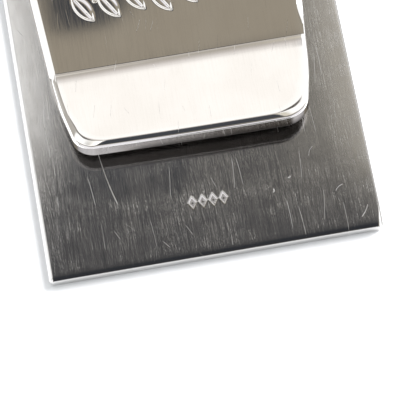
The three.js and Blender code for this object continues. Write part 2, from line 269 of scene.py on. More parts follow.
class Shader:
    """Adds nodes to a tree; a value may be a number, a tuple or another node's output."""

    def __init__(self, tree):
        self.tree = tree
        tree.nodes.clear()

    def node(self, kind, inputs=(), output=0, **settings):
        made = self.tree.nodes.new("ShaderNode" + kind)
        for name, value in settings.items():
            setattr(made, name, value)
        for socket, value in dict(inputs).items():
            self.put(made.inputs[socket], value)
        return made if output is None else made.outputs[output]

    def put(self, socket, value):
        if isinstance(value, bpy.types.NodeSocket):
            self.tree.links.new(value, socket)
        else:
            socket.default_value = value

    def math(self, operation, *values, clamp=False):
        return self.node("Math", enumerate(values), operation=operation, use_clamp=clamp)

    def vector(self, operation, *values):
        return self.node("VectorMath", enumerate(values), operation=operation)

    def separate(self, vector):
        return self.node("SeparateXYZ", {"Vector": vector}, output=None).outputs

    def fade(self, value, start, end, low=0.0, high=1.0):
        """Runs smoothly from low to high as value goes from start to end."""
        inputs = {"Value": value, "From Min": start, "From Max": end, "To Min": low, "To Max": high}
        return self.node("MapRange", inputs, interpolation_type="SMOOTHSTEP")

    def noise(self, position, size, detail=2.0, roughness=0.5, distortion=0.0):
        """Noise from 0 to 1 whose features are about size = (x, y, z) millimetres."""
        scaled = self.vector("DIVIDE", position, size)
        inputs = {"Vector": scaled, "Scale": 1.0, "Detail": detail, "Roughness": roughness,
                  "Distortion": distortion}
        return self.node("TexNoise", inputs, output="Fac")

    def mix(self, share, first, second):
        node = self.node("Mix", output=None, data_type="RGBA")
        self.put(node.inputs[0], share)
        self.put(node.inputs[6], first)
        self.put(node.inputs[7], second)
        return node.outputs[2]

    def ramp(self, value, stops):
        """A colour ramp; stops are (place, colour) pairs."""
        node = self.node("ValToRGB", {"Fac": value}, output=None)
        elements = node.color_ramp.elements
        elements.remove(elements[1])
        elements[0].position = stops[0][0]
        for place, _ in stops[1:]:
            elements.new(place)
        for element, (_, colour) in zip(elements, stops):
            element.color = (*colour, 1)
        return node.outputs[0]

    def position(self):
        """The place on the piece at rest, in millimetres."""
        place = self.node("TexCoord", output="Object")
        return self.vector("DIVIDE", place, (MM, MM, MM))

    def turned(self, position, degrees):
        inputs = {"Vector": position, "Angle": math.radians(degrees)}
        return self.node("VectorRotate", inputs, rotation_type="Z_AXIS")

    def joined(self, operation, values):
        total = values[0]
        for value in values[1:]:
            total = self.math(operation, total, value)
        return total

    def times(self, *values):
        return self.joined("MULTIPLY", values)

    def largest(self, values):
        return self.joined("MAXIMUM", values)

    def scratches(self, position, heading, turn, cell, length, width, chance, seed, faintest=0.35):
        """Straight scratches scattered at random, at most one in each cell, as a mask from 0 to 1."""
        along = self.turned(position, -heading)
        shifted = self.vector("ADD", self.vector("DIVIDE", along, (*cell, 1)), (seed, seed * 1.7, 0))
        voronoi = self.node("TexVoronoi", {"Vector": shifted, "Scale": 1.0}, output=None,
                            voronoi_dimensions="2D")
        local = self.vector("SUBTRACT", shifted, voronoi.outputs["Position"])
        local = self.vector("MULTIPLY", local, (*cell, 0))
        lots = self.node("SeparateColor", {"Color": voronoi.outputs["Color"]}, output=None).outputs
        angle = self.times(self.math("SUBTRACT", lots[0], 0.5), math.radians(turn))
        inputs = {"Vector": local, "Angle": angle}
        across, down, _ = self.separate(self.node("VectorRotate", inputs, rotation_type="Z_AXIS"))
        bow = self.times(down, down, 0.02)
        across = self.math("ABSOLUTE", self.math("ADD", across, bow))
        line = self.fade(across, width / 2, 0.0)
        ends = self.fade(self.math("ABSOLUTE", down), length / 2, length / 5)
        drawn = self.math("LESS_THAN", lots[1], chance)
        strength = self.times(drawn, self.fade(lots[2], 0.0, 1.0, faintest, 1.0))
        return self.times(line, ends, strength)

    def mark(self, position, start, end, bow, width):
        """One scratch from start to end, in millimetres, bowed sideways by bow at its middle."""
        middle = [(a + b) / 2 for a, b in zip(start, end)]
        length = math.dist(start, end)
        heading = math.degrees(math.atan2(start[0] - end[0], end[1] - start[1]))
        local = self.turned(self.vector("SUBTRACT", position, (*middle, 0)), -heading)
        across, down, _ = self.separate(local)
        share = self.math("DIVIDE", down, length / 2)
        sag = self.times(self.math("SUBTRACT", 1.0, self.times(share, share)), bow)
        line = self.fade(self.math("ABSOLUTE", self.math("SUBTRACT", across, sag)), width / 2, 0.0)
        ends = self.fade(self.math("ABSOLUTE", share), 1.0, 0.75)
        return self.times(line, ends)

    def grain_tangent(self):
        return self.node("Tangent", direction_type="UV_MAP", uv_map="grain")

    # Rubbed bright metal above 0, dark painted shade below 0
    def wear_and_shade(self):
        return self.node("Attribute", attribute_name="wear_and_shade", output="Fac")

    def metal(self, colour, roughness, height, bump, anisotropy=0.0, tangent=None):
        """The shader itself: height is in millimetres and shows through the bump."""
        inputs = {"Height": height, "Strength": bump, "Distance": MM}
        normal = self.node("Bump", inputs, output="Normal")
        shader = self.node("BsdfPrincipled", {"Base Color": colour, "Roughness": roughness,
                           "Normal": normal, "Metallic": 1.0, "Anisotropic": anisotropy}, output=None)
        if tangent is not None:
            self.put(shader.inputs["Tangent"], tangent)
        self.node("OutputMaterial", {"Surface": shader.outputs[0]}, output=None)


def new_material(name):
    material = bpy.data.materials.new(name)
    material.use_nodes = True
    return material, Shader(material.node_tree)


# ---- Materials -------------------------------------------------------------------------------------

def brushed_streaks(shader, place):
    """Light streaks along the plate, from 0 to 1, that thin out at its ends, and are halved under the tongue
    as painted shade.
    """
    fade, times = shader.fade, shader.times
    layers = []
    for heading, size, start, end in STREAKS:
        layer = shader.noise(shader.turned(place, -heading), size, detail=2.0, roughness=0.6)
        layers.append(times(fade(layer, start, end), STREAK_STRENGTH))
    for heading, turn, seed in STREAK_SCRATCHES:
        layers.append(shader.scratches(place, heading, turn, (0.19, 2.2), 2.0, 0.04, 0.75, seed, 0.0))
    grit = shader.noise(place, (0.05, 0.16, 1), detail=1.0)
    patches = shader.noise(place, (2.2, 1.2, 2.0), detail=3.0)
    ragged = shader.noise(place, (0.12, 30.0, 1.0), detail=2.0)
    from_side, from_middle, _ = shader.separate(shader.vector("ABSOLUTE", place))
    from_end = shader.math("SUBTRACT", PLATE_HIGH[1], from_middle)
    # Painted shade: the light streaks, colour and roughness alike, are halved under the tongue and just
    # before its tip
    under_tongue_shade = times(fade(shader.separate(place)[1], -20.6, -18.6), fade(from_side, 11.0, 8.8))
    return times(
        shader.largest(layers), fade(grit, 0.35, 0.6, 0.45, 1.0),
        fade(patches, 0.35, 0.65, 0.6, 1.0),
        fade(shader.math("SUBTRACT", from_end, ragged), -0.3, 0.35),
        fade(under_tongue_shade, 0, 1, 1.0, 0.5),
    )


def satin_steel():
    """Brushed lengthwise: a dark mirror under many fine light streaks, with brighter worn edges and a painted
    dark reflection line on the right side.
    """
    material, shader = new_material("satin_steel")
    fade, mix, times = shader.fade, shader.mix, shader.times
    place = shader.position()
    streaks = brushed_streaks(shader, place)
    broad = fade(shader.noise(place, (1.6, 5.0, 2.0), detail=3.0), 0.3, 0.7)
    nick = shader.largest([shader.mark(place, *mark) for mark in PLATE_MARKS])
    scratch = shader.largest([
        shader.scratches(place, -2, 16, (1.0, 4.0), 3.0, 0.03, 0.3, 11.7, 0.0),
        shader.scratches(place, 20, 60, (1.6, 2.2), 1.1, 0.026, 0.2, 23.3, 0.0),
        nick,
    ])
    wear_and_shade = shader.wear_and_shade()
    # Painted shade: below 0 the colour is painted dark, the painted reflection line along the plate's right
    # side
    dulling_and_painted_shade = shader.math("MULTIPLY", wear_and_shade, -1.0, clamp=True)
    colour = mix(streaks, (0.5, 0.496, 0.492, 1), (0.86, 0.84, 0.81, 1))
    colour = mix(times(broad, 0.3), colour, (0.46, 0.44, 0.42, 1))
    colour = mix(shader.math("MAXIMUM", scratch, wear_and_shade), colour, (0.93, 0.92, 0.91, 1))
    colour = mix(dulling_and_painted_shade, colour, (0.2, 0.19, 0.18, 1))
    roughness = fade(broad, 0.0, 1.0, 0.08, 0.11)
    roughness = shader.math("ADD", roughness, times(streaks, 0.24))
    roughness = shader.math("ADD", roughness, times(scratch, 0.4), clamp=True)
    roughness = shader.math("ADD", roughness, times(wear_and_shade, 0.06), clamp=True)
    height = shader.math("ADD", times(streaks, -0.003), times(scratch, -0.01))
    height = shader.math("SUBTRACT", height, times(nick, 0.025))
    shader.metal(colour, roughness, height, 0.5, anisotropy=0.85, tangent=shader.grain_tangent())
    return material


def polished_steel():
    """Bright polish with faint lengthwise hairlines, a few light scratches, worn edges and painted shade on
    the lip's underside.
    """
    material, shader = new_material("polished_steel")
    fade, mix, times = shader.fade, shader.mix, shader.times
    place = shader.position()
    hairs = shader.noise(place, (0.08, 2.4, 1.0), detail=3.0)
    clouds = shader.noise(place, (3.0, 4.0, 3.0), detail=3.0)
    scratch = shader.largest([
        shader.scratches(place, -10, 30, (1.3, 1.8), 1.4, 0.03, 0.35, 5.3, 0.0),
        shader.scratches(place, 15, 70, (1.8, 2.2), 0.9, 0.03, 0.3, 17.9, 0.0),
        *[shader.mark(place, *mark) for mark in PANEL_MARKS],
    ])
    wear_and_shade = shader.wear_and_shade()
    # Painted shade: below 0, on the lip's underside, the colour is painted dark
    painted_underside_shade = shader.math("MULTIPLY", wear_and_shade, -1.0, clamp=True)
    colour = mix(fade(clouds, 0.3, 0.7), (0.88, 0.85, 0.81, 1), (0.92, 0.895, 0.86, 1))
    # Here only real dulling: darker hairlines, no painted shade
    dulling_and_painted_shade = times(fade(hairs, 0.42, 0.7), 0.1)
    colour = mix(dulling_and_painted_shade, colour, (0.74, 0.71, 0.66, 1))
    colour = mix(shader.math("MAXIMUM", scratch, wear_and_shade, clamp=True), colour, (0.98, 0.975, 0.965, 1))
    colour = mix(painted_underside_shade, colour, (0.3, 0.29, 0.28, 1))
    roughness = fade(hairs, 0.3, 0.7, 0.035, 0.065)
    roughness = shader.math("ADD", roughness, times(scratch, 0.35), clamp=True)
    height = shader.math("ADD", times(hairs, 0.0002), times(scratch, -0.004))
    shader.metal(colour, roughness, height, 0.5, anisotropy=0.4, tangent=shader.grain_tangent())
    return material


def turned_steel():
    """Turned on a lathe: fine rings round the pin's axis, and a little handling wear."""
    material, shader = new_material("turned_steel")
    fade, mix, times = shader.fade, shader.mix, shader.times
    place = shader.position()
    rings = shader.noise(place, (0.07, 8.0, 8.0), detail=3.0)
    clouds = shader.noise(place, (1.5, 1.5, 1.5), detail=3.0)
    scratch = shader.scratches(place, 80, 60, (1.2, 2.0), 1.2, 0.04, 0.4, 7.7)
    wear_and_shade = shader.wear_and_shade()
    colour = mix(fade(rings, 0.35, 0.65), (0.62, 0.61, 0.59, 1), (0.76, 0.75, 0.73, 1))
    colour = mix(shader.math("MAXIMUM", scratch, wear_and_shade), colour, (0.88, 0.87, 0.85, 1))
    roughness = fade(clouds, 0.3, 0.7, 0.22, 0.32)
    roughness = shader.math("ADD", roughness, times(scratch, 0.2), clamp=True)
    height = times(rings, 0.008)
    shader.metal(colour, roughness, height, 0.5, anisotropy=0.7, tangent=shader.grain_tangent())
    return material


def spring_steel():
    """Drawn wire, tempered to a slightly brown grey."""
    material, shader = new_material("spring_steel")
    place = shader.position()
    drawn = shader.noise(place, (0.5, 0.1, 0.1), detail=2.0)
    tint = shader.noise(place, (0.9, 0.9, 0.9), detail=3.0)
    colour = shader.mix(shader.fade(tint, 0.3, 0.7), (0.36, 0.34, 0.32, 1), (0.5, 0.49, 0.48, 1))
    roughness = shader.fade(drawn, 0.3, 0.7, 0.28, 0.42)
    shader.metal(colour, roughness, shader.times(drawn, 0.006), 0.5)
    return material


def brass():
    """Turned brass with a touch of tarnish."""
    material, shader = new_material("brass")
    place = shader.position()
    rings = shader.noise(place, (0.06, 6.0, 6.0), detail=2.0)
    tarnish = shader.noise(place, (0.7, 0.7, 0.7), detail=4.0)
    colour = shader.mix(shader.fade(tarnish, 0.4, 0.7), (0.78, 0.6, 0.28, 1), (0.5, 0.34, 0.16, 1))
    roughness = shader.fade(tarnish, 0.3, 0.7, 0.22, 0.42)
    shader.metal(colour, roughness, shader.times(rings, 0.008), 0.5)
    return material


# ---- Base plate ------------------------------------------------------------------------------------

def edge_lines(rounding, roll_reach):
    """Distances from an edge at which the plate's surface has grid lines."""
    return spread((0, rounding, 4), (rounding, rounding * 1.3, 2), (rounding * 1.3, roll_reach, 10))


def plate_lines():
    """Grid lines of the plate's top: shares of the bevel, then places, across and along."""
    mark_half = MARK_PITCH * MARK_COUNT / 2 + 0.2
    low, high = PLATE_LOW[:2], PLATE_HIGH[:2]
    across = spread((low[0] + SIDE_ROLL_REACH, MARK_CENTRE[0] - mark_half, 16),
                    (MARK_CENTRE[0] - mark_half, MARK_CENTRE[0] + mark_half, 110),
                    (MARK_CENTRE[0] + mark_half, high[0] - SIDE_ROLL_REACH, 16))
    mark_tall = MARK_HALF_HEIGHT + 0.2
    along = spread((low[1] + END_ROLL_REACH, MARK_CENTRE[1] - mark_tall, 10),
                   (MARK_CENTRE[1] - mark_tall, MARK_CENTRE[1] + mark_tall, 42),
                   (MARK_CENTRE[1] + mark_tall, high[1] - END_ROLL_REACH, 60))
    return across, along


def bevel_widths(widths, y):
    share = (y - PLATE_LOW[1]) / (PLATE_HIGH[1] - PLATE_LOW[1])
    return widths[0] + (widths[1] - widths[0]) * share


def right_bevel(y):
    extra, reach = RIGHT_CORNER_WEAR
    return bevel_widths(RIGHT_BEVEL, y) + extra * np.clip(1 - (y - PLATE_LOW[1]) / reach, 0, 1)


def plate_top_grid():
    """X, Y and the drop below the flat top, at each crossing of the grid lines."""
    across, along = plate_lines()
    ends = edge_lines(END_ROUNDING, END_ROLL_REACH)
    y = np.concatenate([PLATE_LOW[1] + ends[:-1], along, PLATE_HIGH[1] - ends[-2::-1]])
    rows = []
    for place in y:
        left = edge_lines(bevel_widths(LEFT_BEVEL, place), SIDE_ROLL_REACH)
        right = edge_lines(right_bevel(place), SIDE_ROLL_REACH)
        rows.append(np.concatenate([PLATE_LOW[0] + left[:-1], across, PLATE_HIGH[0] - right[-2::-1]]))
    x = np.array(rows)
    return x, np.repeat(y[:, None], x.shape[1], axis=1)


def plate_drop(x, y):
    """How far the top lies below its flat height: bevels, rounded ends and the soft polished roll."""
    left, right = x - PLATE_LOW[0], PLATE_HIGH[0] - x
    front, back = y - PLATE_LOW[1], PLATE_HIGH[1] - y
    drop = np.maximum(bevel_widths(LEFT_BEVEL, y) - left, 0)
    drop = np.maximum(drop, right_bevel(y) - right)
    for distance in (front, back):
        inside = np.clip(END_ROUNDING - distance, 0, END_ROUNDING)
        drop = np.maximum(drop, END_ROUNDING - np.sqrt(END_ROUNDING ** 2 - inside ** 2))
    for distance in (left, right):
        drop += SIDE_ROLL_SLOPE / 2 * np.clip(SIDE_ROLL_REACH - distance, 0, None) ** 2 / SIDE_ROLL_REACH
    for distance in (front, back):
        drop += END_ROLL_SLOPE / 2 * np.clip(END_ROLL_REACH - distance, 0, None) ** 2 / END_ROLL_REACH
    return drop


def punched_mark(x, y):
    """Height and wear of a short row of punched lozenges, each with a raised rim and a raised middle."""
    height, wear_and_shade = np.zeros_like(x), np.zeros_like(x)
    first = MARK_CENTRE[0] - MARK_PITCH * (MARK_COUNT - 1) / 2
    for number in range(MARK_COUNT):
        across = np.abs(x - first - number * MARK_PITCH) / MARK_HALF_WIDTH
        down = np.abs(y - MARK_CENTRE[1]) / MARK_HALF_HEIGHT
        outside = (across + down - 1) * MARK_HALF_WIDTH
        height += MARK_RIM * np.exp(-(outside / 0.05) ** 2)
        height -= MARK_DEPTH * smoothstep(0.0, 0.08, -outside)
        height += MARK_DEPTH * smoothstep(0.12, 0.2, -outside)
        wear_and_shade = np.maximum(wear_and_shade, np.exp(-((outside + 0.03) / 0.07) ** 2))
    return height, wear_and_shade


def round_corners(x, y):
    """Moves the grid's square corners onto round ones."""
    centre = (PLATE_LOW[:2] + PLATE_HIGH[:2]) / 2
    straight = (PLATE_HIGH[:2] - PLATE_LOW[:2]) / 2 - PLATE_CORNER
    past_x = np.abs(x - centre[0]) - straight[0]
    past_y = np.abs(y - centre[1]) - straight[1]
    in_corner = (past_x > 0) & (past_y > 0)
    reach = np.hypot(past_x, past_y)
    scale = np.where(in_corner, np.maximum(past_x, past_y) / np.where(in_corner, reach, 1), 1)
    round_x = centre[0] + np.sign(x - centre[0]) * (straight[0] + past_x * scale)
    round_y = centre[1] + np.sign(y - centre[1]) * (straight[1] + past_y * scale)
    return np.where(in_corner, round_x, x), np.where(in_corner, round_y, y)


def base_plate(material):
    square_x, square_y = plate_top_grid()
    mark_height, mark_wear = punched_mark(square_x, square_y)
    z = PLATE_TOP - plate_drop(square_x, square_y) + mark_height
    x, y = round_corners(square_x, square_y)
    rows, columns = x.shape
    points = np.stack([x, y, z], axis=2).reshape(-1, 3)
    faces = grid_faces(rows, columns)
    border = grid_border(rows, columns)
    rim = points[border]
    inwards = -np.sign(rim[:, :2]) * (np.abs(rim[:, :2]) > np.abs(rim[:, :2]).max(axis=0) - PLATE_CORNER)
    previous = border
    all_points = [points]
    count = len(points)
    for inset, height in rounded_profile([(0, 1, 0), (0, 0, UNDER_ROUNDING), (1, 0, 0)])[1:-1]:
        ring = rim.copy()
        ring[:, :2] += inwards * inset
        ring[:, 2] = PLATE_LOW[2] + height
        all_points.append(ring)
        previous, count = add_ring(faces, previous, count)
    faces.append(previous.tolist())
    points = np.concatenate(all_points)
    edge_distance = np.minimum(points[:, 0] - PLATE_LOW[0], PLATE_HIGH[0] - points[:, 0])
    wear_and_shade = np.exp(-np.clip(edge_distance, 0, None) / PLATE_EDGE_WEAR_REACH)
    # Painted shade: a narrow strip along the right side is painted dark, a painted reflection of something
    # dark
    wear_and_shade -= 2 * smoothstep(*PAINTED_DARK_LINE, PLATE_HIGH[0] - points[:, 0])
    wear_and_shade[:mark_wear.size] += mark_wear.ravel()
    return make_piece("base_plate_visual", points, faces, "plate_assembly", material,
                      points[:, :2], wear_and_shade)


# ---- Tongue ----------------------------------------------------------------------------------------

def tongue_path():
    """Straight and round stretches, (length, turn), from the lip's tip to the end of the curl."""
    to_pin = np.array([PIN_Y - BEND_CENTRE[0], PIN_Z - BEND_CENTRE[1]])
    distance = np.hypot(*to_pin)
    both = BEND_RADIUS + CURL_RADIUS
    panel_angle = math.atan2(to_pin[1], to_pin[0]) + math.asin(both / distance)
    bend_turn = LIP_ANGLE + panel_angle
    curl_turn = panel_angle + math.pi / 2 + CURL_BELOW_PIN
    panel_length = math.sqrt(distance ** 2 - both ** 2)
    return [(LIP_LENGTH, 0), (BEND_RADIUS * bend_turn, bend_turn), (panel_length, 0),
            (CURL_RADIUS * curl_turn, -curl_turn)]


PATH = tongue_path()
PANEL_START = PATH[0][0] + PATH[1][0]
PANEL_LENGTH = PATH[2][0]
TONGUE_LENGTH = sum(length for length, _ in PATH)
TIP = (
    BEND_CENTRE[0] - BEND_RADIUS * math.sin(LIP_ANGLE) - LIP_LENGTH * math.cos(LIP_ANGLE),
    BEND_CENTRE[1] - BEND_RADIUS * math.cos(LIP_ANGLE) + LIP_LENGTH * math.sin(LIP_ANGLE),
)


def walk(distance):
    """Y, Z and heading after walking along the tongue's side profile from its tip."""
    heading = np.full_like(distance, -LIP_ANGLE)
    y = np.full_like(distance, TIP[0])
    z = np.full_like(distance, TIP[1])
    left = distance.copy()
    for length, turn in PATH:
        step = np.minimum(left, length)
        turned = turn * step / length
        chord = step if turn == 0 else 2 * np.sin(turned / 2) * length / turn
        y += chord * np.cos(heading + turned / 2)
        z += chord * np.sin(heading + turned / 2)
        heading += turned
        left -= step
    return y, z, heading


def formed(x, distance, height):
    """Bends a point of the flat blank onto the side profile; the tip is bowed and a little askew."""
    across = x / (WIDTH_AT_BEND / 2)
    setback = LIP_LEFT_SETBACK * (1 - across) / 2 - LIP_BOW * (1 - across ** 2)
    bent = distance + setback * np.maximum(1 - distance / LIP_LENGTH, 0)
    y, z, heading = walk(bent)
    return np.stack([x, y - height * np.sin(heading), z + height * np.cos(heading)], axis=-1)


def tongue_side(side, distance):
    """X of one side of the blank: an even taper, drawn in a little more towards the tip."""
    reach = np.minimum((distance - LIP_LENGTH) / PANEL_LENGTH, 1)
    half_width = (WIDTH_AT_BEND + (WIDTH_AT_HINGE - WIDTH_AT_BEND) * reach) / 2
    narrowing = LIP_NARROWING * np.maximum(1 - distance / LIP_LENGTH, 0) ** 2
    return DRIFT_AT_BEND * (1 - reach) + side * (half_width - narrowing)


def panel_distance(y):
    """Distance from the tip of a place on the panel with this Y."""
    bend_end = BEND_CENTRE[0] + BEND_RADIUS * math.sin(PATH[1][1] - LIP_ANGLE)
    return PANEL_START + (y - bend_end) / math.cos(PATH[1][1] - LIP_ANGLE)


CORNER_SHARES = np.linspace(0, 1, 25)
SPRIG_DISTANCE = panel_distance(SPRIG_Y)
STATIONS = spread(
    (3.4, LIP_LENGTH - 1.0, 10),
    (LIP_LENGTH - 1.0, PANEL_START - 0.4, 36),
    (PANEL_START - 0.4, PANEL_START + 0.8, 60),
    (PANEL_START + 0.8, SPRIG_DISTANCE - SPRIG_HALF_HEIGHT, 8),
    (SPRIG_DISTANCE - SPRIG_HALF_HEIGHT, SPRIG_DISTANCE + SPRIG_HALF_HEIGHT, 124),
    (SPRIG_DISTANCE + SPRIG_HALF_HEIGHT, PANEL_START + PANEL_LENGTH, 20),
    (PANEL_START + PANEL_LENGTH, TONGUE_LENGTH, 48),
)
COLUMNS = spread((0, 0.1, 18), (0.1, 0.9, 260), (0.9, 1, 18))


def side_points(side, corner, ring):
    """One side of the blank, row by row: its round lip corner, then its stations up to the curl.

    The ring holds an inset and a height for each row.
    """
    inset, height = ring.T
    lean = math.atan(side * float(tongue_side(side, corner + 0.6) - tongue_side(side, corner)) / 0.6)
    corner_x = tongue_side(side, corner * (1 - math.sin(lean))) - side * corner * math.cos(lean)
    angle = (math.pi / 2 - lean) * CORNER_SHARES
    count = len(CORNER_SHARES)
    growth = FACE_CORNER_GROWTH * np.clip(inset[:count] - 0.15, 0, 0.4) * (height[:count] > 0)
    reach = corner - inset[:count] + growth
    stations = STATIONS.copy()
    stations[-1] -= inset[-1]
    x = np.concatenate([corner_x - side * (growth - reach * np.sin(angle)),
                        tongue_side(side, STATIONS) - side * inset[count:]])
    distance = np.concatenate([corner + growth - reach * np.cos(angle), stations])
    return x, distance


def blank_grid(left_ring, right_ring):
    """X and distance of the blank's grid, drawn in on each side by one ring of the edge."""
    left_x, left_distance = side_points(-1, LEFT_LIP_CORNER, left_ring)
    right_x, right_distance = side_points(1, RIGHT_LIP_CORNER, right_ring)
    x = left_x[:, None] + (right_x - left_x)[:, None] * COLUMNS
    distance = left_distance[:, None] + (right_distance - left_distance)[:, None] * COLUMNS
    return x, distance


def crease_table():
    """Heights above the lip's plane across the crease, against distance past it."""
    place = np.linspace(-2.0, 3.0, 1001)
    known_at, known = zip(*CREASE_SLOPES)
    full = math.tan(PATH[1][1])
    slope = np.interp(place, known_at + (0.01,), known + (full,))
    height = np.concatenate([[0], np.cumsum((slope[1:] + slope[:-1]) / 2 * np.diff(place))])
    return place, height, full


CREASE_TABLE = crease_table()


def crease_lift(x, distance):
    """How far the sheet's top stands above the plain bend, so that the bend ends in a crisp crease."""
    place, height, full = CREASE_TABLE
    past = distance - PANEL_START
    crisp = np.interp(past, place, height) + full * np.clip(past - place[-1], 0, None)
    into_bend = np.clip(distance - LIP_LENGTH, 0, PATH[1][0])
    plain = full * into_bend ** 2 / (2 * PATH[1][0]) + full * np.clip(past, 0, None)
    end = height[-1] - full * (PATH[1][0] / 2 + place[-1])
    fade = smoothstep(PANEL_START + PANEL_LENGTH, PANEL_START + 3.0, distance)
    left_slope, right_slope = CREASE_EASE_SLOPE
    flattening = left_slope + (right_slope - left_slope) * smoothstep(-5, 4, x)
    eased = flattening * CREASE_EASE / 2 * np.clip(1 - np.clip(past, 0, None) / CREASE_EASE, 0, 1) ** 2
    return (crisp - plain - end / 2 + eased) * fade


def leaf(x, y, base, angle):
    """Height of one engraved leaf: a sunk pointed oval with a raised vein."""
    along = (x - base[0]) * math.cos(angle) + (y - base[1]) * math.sin(angle) - LEAF_LENGTH / 2
    across = (y - base[1]) * math.cos(angle) - (x - base[0]) * math.sin(angle)
    half = LEAF_LENGTH / 2
    radius = (half ** 2 + LEAF_HALF_WIDTH ** 2) / (2 * LEAF_HALF_WIDTH)
    outside = np.hypot(along, np.abs(across) + radius - LEAF_HALF_WIDTH) - radius
    sunk = smoothstep(0, ENGRAVING_WALL, -outside)
    vein = smoothstep(0.09, 0.02, np.abs(across)) * smoothstep(0.15, 0.3, -outside)
    return sunk * (1 - 0.6 * vein)


def sprig(x, distance):
    """Depth of the engraving, from 0 to 1: a waving stem with pairs of leaves and a berry by each."""
    y = distance - SPRIG_DISTANCE
    wave = 0.22 * np.sin(x * 2 * math.pi / 5.2)
    on_length = smoothstep(SPRIG_HALF_LENGTH, SPRIG_HALF_LENGTH - 0.3, np.abs(x))
    depth = smoothstep(0.17, 0.17 - ENGRAVING_WALL, np.abs(y - wave)) * on_length
    pitch = (2 * SPRIG_HALF_LENGTH - 1.6) / LEAF_PAIRS
    for number in range(LEAF_PAIRS):
        base_x = -SPRIG_HALF_LENGTH + 0.25 + number * pitch
        base_y = 0.22 * math.sin(base_x * 2 * math.pi / 5.2)
        for side in (-1, 1):
            depth = np.maximum(depth, leaf(x, y, (base_x, base_y + side * 0.12), side * LEAF_ANGLE))
            berry = np.hypot(x - base_x - 1.75, y - base_y - side * 0.75)
            depth = np.maximum(depth, smoothstep(0.24, 0.24 - ENGRAVING_WALL, berry))
    return depth


def edge_profiles(edges):
    """Inset and height of each ring round the sheet's edge, row by row along one side."""
    tip, lip_side = rounded_profile(TIP_EDGE), rounded_profile(edges[0][1])
    round_corner = smoothstep(0.1, 0.9, CORNER_SHARES)[:, None, None]
    corner = tip * (1 - round_corner) + lip_side * round_corner
    along = np.repeat(lip_side[None], len(STATIONS), axis=0)
    for (start, _), (end, edge) in zip(edges, edges[1:]):
        share = smoothstep(start, end, STATIONS)[:, None, None]
        along = along * (1 - share) + rounded_profile(edge) * share
    return np.concatenate([corner, along])


def tongue(material):
    left, right = edge_profiles(LEFT_EDGES), edge_profiles(RIGHT_EDGES)
    x, distance = blank_grid(left[:, 0], right[:, 0])
    rows, columns = x.shape
    depth = sprig(x, distance)
    height = SHEET / 2 - ENGRAVING_DEPTH * depth + crease_lift(x, distance)
    border = grid_border(rows, columns)
    all_points = [formed(x, distance, height).reshape(-1, 3)]
    all_grain = [np.stack([x, distance], axis=2).reshape(-1, 2)]
    all_wear_and_shade = [(3.2 * depth * (1 - depth)).ravel()]
    faces = grid_faces(rows, columns)
    previous = border
    count = rows * columns
    for ring in range(1, left.shape[1]):
        x, distance = blank_grid(left[:, ring], right[:, ring])
        left_height, right_height = left[:, ring, 1][:, None], right[:, ring, 1][:, None]
        height = left_height + (right_height - left_height) * COLUMNS
        height += crease_lift(x, distance) * (height / SHEET + 0.5)
        all_points.append(formed(x, distance, height).reshape(-1, 3)[border])
        all_grain.append(np.stack([x, distance], axis=2).reshape(-1, 2)[border])
        edge_x = x.ravel()[border]
        # Edges are rubbed bright, but rings from the sheet's lower corner down get painted shade, stopping
        # short of the right corner
        painted_shade_from = -0.43 + 0.1 * smoothstep(-8, 0, edge_x)
        below = smoothstep(painted_shade_from + 0.03, painted_shade_from - 0.03, height.ravel()[border])
        all_wear_and_shade.append(LIP_EDGE_WEAR - LIP_PAINTED_SHADE_DEPTH * below * smoothstep(*LIP_PAINTED_SHADE_ENDS, edge_x))
        previous, count = add_ring(faces, previous, count)
    faces += under_faces(previous, rows, columns)
    points = np.concatenate(all_points)
    points[:, 2] = np.minimum(points[:, 2], TONGUE_TOP)
    return make_piece("tongue_visual", points, faces, "tongue_assembly",
                      material, np.concatenate(all_grain), np.concatenate(all_wear_and_shade))


def under_faces(ring, rows, columns):
    """Closes the underside: one strip across for each row, from a ring round the blank."""
    right = ring[columns - 1:columns - 1 + rows]
    left = np.concatenate([ring[:1], ring[:columns + rows + columns - 4:-1]])
    far_end = ring[columns + rows - 2:columns + rows - 2 + columns]
    faces = [ring[:columns].tolist() + [int(right[1]), int(left[1])]]
    for row in range(1, rows - 2):
        faces.append([int(left[row]), int(right[row]), int(right[row + 1]), int(left[row + 1])])
    faces.append([int(left[rows - 2]), int(right[rows - 2])] + far_end.tolist())
    return faces


# ---- Hinge -----------------------------------------------------------------------------------------

HINGE_SIDES = 96
BARREL_LOW, BARREL_HIGH = box_mm("tongue_barrel")
KNUCKLE_LOW, KNUCKLE_HIGH = box_mm("right_knuckle")
CAP_LOW, CAP_HIGH = box_mm("right_pin_cap")
PIN_LOW, PIN_HIGH = box_mm("hinge_pin")
BARREL_RADIUS = (BARREL_HIGH[2] - BARREL_LOW[2]) / 2
BARREL_BORE = 1.7
KNUCKLE_RADIUS = KNUCKLE_HIGH[2] - PIN_Z
KNUCKLE_FOOT = 1.5
FOOT_FILLET = 0.3
PIN_RADIUS = (PIN_HIGH[2] - PIN_LOW[2]) / 2
CAP_RADIUS = (CAP_HIGH[2] - CAP_LOW[2]) / 2
SEAT_RADIUS = CAP_RADIUS + 0.05
CAP_DOME = CAP_HIGH[0] - KNUCKLE_HIGH[0]
EDGE_BREAK = 0.12


def about_pin(along, radius, angle):
    """A point round the pin's axis; angle 0 is straight down."""
    return np.stack([along + 0 * angle, PIN_Y + radius * np.sin(angle), PIN_Z - radius * np.cos(angle)],
                    axis=-1)


